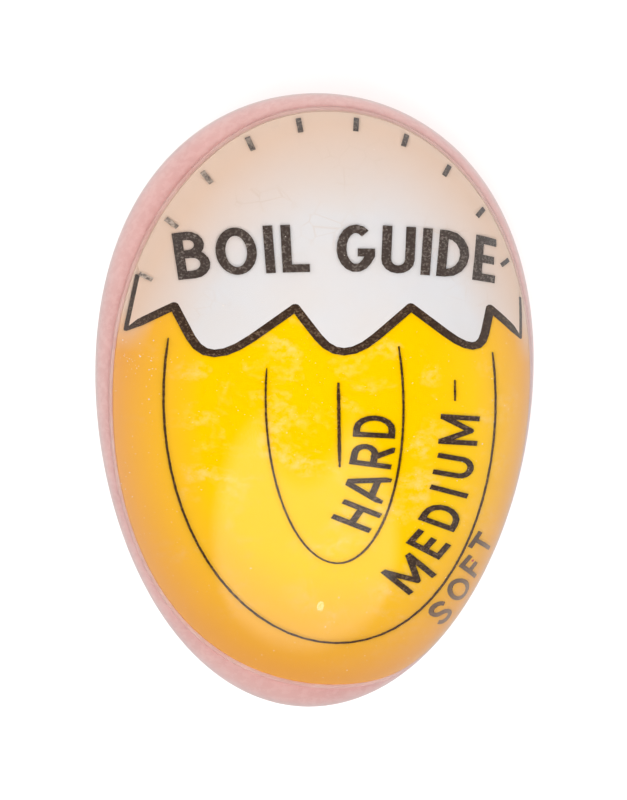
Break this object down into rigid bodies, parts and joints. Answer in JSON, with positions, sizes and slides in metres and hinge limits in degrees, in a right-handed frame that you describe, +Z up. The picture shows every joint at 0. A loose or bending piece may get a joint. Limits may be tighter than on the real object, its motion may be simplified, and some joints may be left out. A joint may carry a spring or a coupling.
{
  "type": "colour-changing egg timer",
  "caption": "Solid egg-shaped resin boiling indicator: a clear magnifying dome over a printed heat-sensitive sheet on a tinted flat-backed base.",
  "frame": {"origin": "centre of the bounding box's lowest face, on the flat back that the timer rests on", "axes": "+Z up out of the domed face, +Y towards the egg's broad end, +X to the right when the print is read"},
  "size_m": [0.04, 0.056, 0.03],
  "materials": {
    "tinted_resin": "dusty pink cast resin, slightly cloudy, smooth",
    "white_film": "thin white plastic film",
    "yellow_heat_coat": "egg-yolk yellow heat-sensitive coat, flat",
    "white_ink": "opaque off-white printing ink",
    "black_ink": "warm black printing ink, mottled",
    "clear_resin": "water-clear cast resin, polished, with fine bubbles and scuffs"
  },
  "bodies": {
    "root": {"base_casting": "tinted_resin", "carrier_film": "white_film", "heat_coat": "yellow_heat_coat", "shell_print": "white_ink", "crack_line": "black_ink", "minute_marks": "black_ink", "zone_lines": "black_ink", "zone_words": "black_ink", "title_words": "black_ink", "dome_lens": "clear_resin"}
  },
  "joints": []
}
